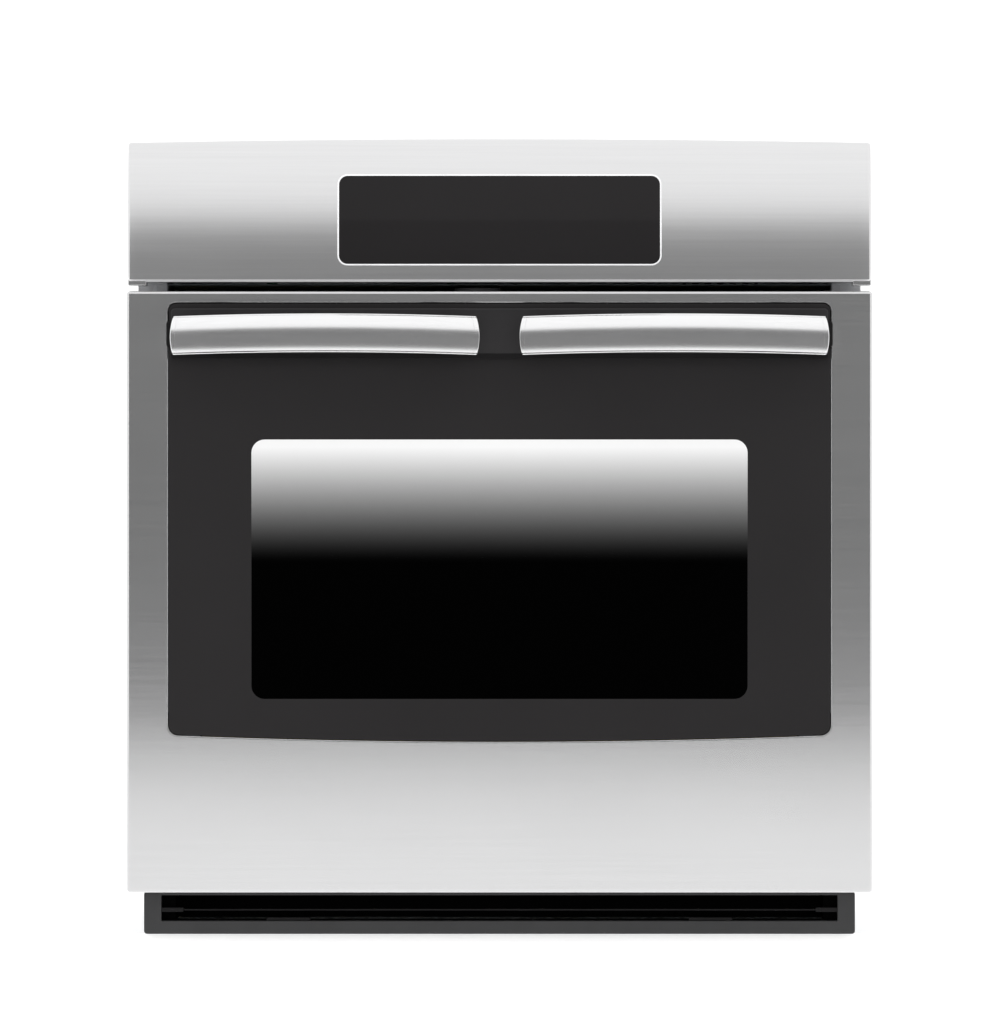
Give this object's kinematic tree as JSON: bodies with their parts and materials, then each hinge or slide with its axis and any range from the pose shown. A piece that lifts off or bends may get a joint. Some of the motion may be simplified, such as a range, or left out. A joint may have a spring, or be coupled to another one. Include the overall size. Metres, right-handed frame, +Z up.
{
  "type": "wall oven",
  "caption": "Built-in single electric wall oven with a drop-down glass door, short twin handles, curved touch control panel and a vent trim below.",
  "frame": {"origin": "middle of the footprint, on the plane of the base runners' undersides", "axes": "+Z up, -Y out of the door towards the room, +X to the right of a person facing the oven"},
  "size_m": [0.6794, 0.706, 0.727],
  "materials": {
    "stainless": "fine horizontal brushing",
    "galvanised": "dull zinc-coated sheet",
    "enamel": "glossy speckled porcelain enamel",
    "element_sheath": "dark oxidised sheath",
    "chrome_wire": "bright chrome wire",
    "screw_steel": "plain zinc",
    "wool": "matte glass wool",
    "gasket_braid": "woven glass fibre",
    "black_glass": "polished, almost opaque",
    "clear_glass": "clear",
    "mask_ink": "printed black border",
    "trim_paint": "satin dark grey paint",
    "black_paint": "satin black",
    "black_plastic": "matte",
    "board": "circuit board",
    "motor_steel": "laminated steel"
  },
  "bodies": {
    "case": {"case_base": "galvanised", "left_side_panel": "galvanised", "right_side_panel": "galvanised", "top_cover": "galvanised", "rear_cover": "galvanised", "base_runners": "galvanised", "mounting_rails": "galvanised", "front_frame": "enamel", "cavity_liner": "enamel", "cavity_insulation": "wool", "door_gasket": "gasket_braid", "bake_element": "element_sheath", "broil_element": "element_sheath", "lamp_housing": "galvanised", "lamp_bulb": "clear_glass", "lamp_cover": "clear_glass", "temperature_sensor": "chrome_wire", "rack_guides": "chrome_wire", "vent_trim": "trim_paint", "vent_blade": "trim_paint", "control_fascia": "stainless", "panel_end_caps": "stainless", "display_glass": "black_glass", "display_trim": "chrome_wire", "display_board": "black_plastic", "panel_backplate": "galvanised", "compartment_floor": "galvanised", "relay_board": "board", "blower_housing": "galvanised", "blower_motor": "motor_steel", "latch_motor": "motor_steel", "light_switch": "black_plastic", "thermal_cutout": "black_plastic", "terminal_block": "black_plastic", "conduit_gland": "galvanised", "hinge_arms": "galvanised", "hinge_receivers": "galvanised", "case_screws": "screw_steel"},
    "door": {"door_skin": "stainless", "door_glass": "black_glass", "glass_mask": "mask_ink", "glass_retainers": "galvanised", "inner_panes": "clear_glass", "window_frame": "galvanised", "door_liner": "enamel", "door_insulation": "wool", "left_handle": "stainless", "right_handle": "stainless", "handle_end_caps": "stainless", "handle_posts": "black_paint", "handle_rail": "black_paint", "hinge_channels": "galvanised", "hinge_pins": "screw_steel", "hinge_springs": "screw_steel", "door_screws": "screw_steel"},
    "upper_rack": {"upper_rack": "chrome_wire"},
    "lower_rack": {"lower_rack": "chrome_wire"},
    "blower_rotor": {"blower_wheel": "trim_paint"},
    "latch": {"latch_hook": "screw_steel"},
    "plunger": {"switch_plunger": "screw_steel"}
  },
  "joints": [
    {"name": "door_hinge", "type": "hinge", "parent": "case", "child": "door", "pos_m": [0, -0.263, 0.046], "axis": [1, 0, 0], "range_deg": [0, 90], "stiffness_Nm_per_rad": 10, "springref_deg": -34.38},
    {"name": "upper_rack_slide", "type": "slide", "parent": "case", "child": "upper_rack", "axis": [0, -1, 0], "range_m": [0, 0.3]},
    {"name": "lower_rack_slide", "type": "slide", "parent": "case", "child": "lower_rack", "axis": [0, -1, 0], "range_m": [0, 0.27]},
    {"name": "lamp_switch_slide", "type": "slide", "parent": "case", "child": "plunger", "axis": [0, -1, 0], "range_m": [0, 0.006]},
    {"name": "latch_turn", "type": "hinge", "parent": "case", "child": "latch", "pos_m": [-0.02, -0.223, 0.5725], "axis": [0, 0, -1], "range_deg": [0, 60]},
    {"name": "blower_spin", "type": "hinge", "parent": "case", "child": "blower_rotor", "pos_m": [0, 0.16216, 0.645], "axis": [1, 0, 0], "continuous": true}
  ],
  "couplings": [
    {"joint": "upper_rack_slide", "follows": "door_hinge", "m_per_rad": 0.19},
    {"joint": "lower_rack_slide", "follows": "door_hinge", "m_per_rad": 0.17},
    {"joint": "lamp_switch_slide", "follows": "door_hinge", "m_per_rad": 0.0038}
  ]
}
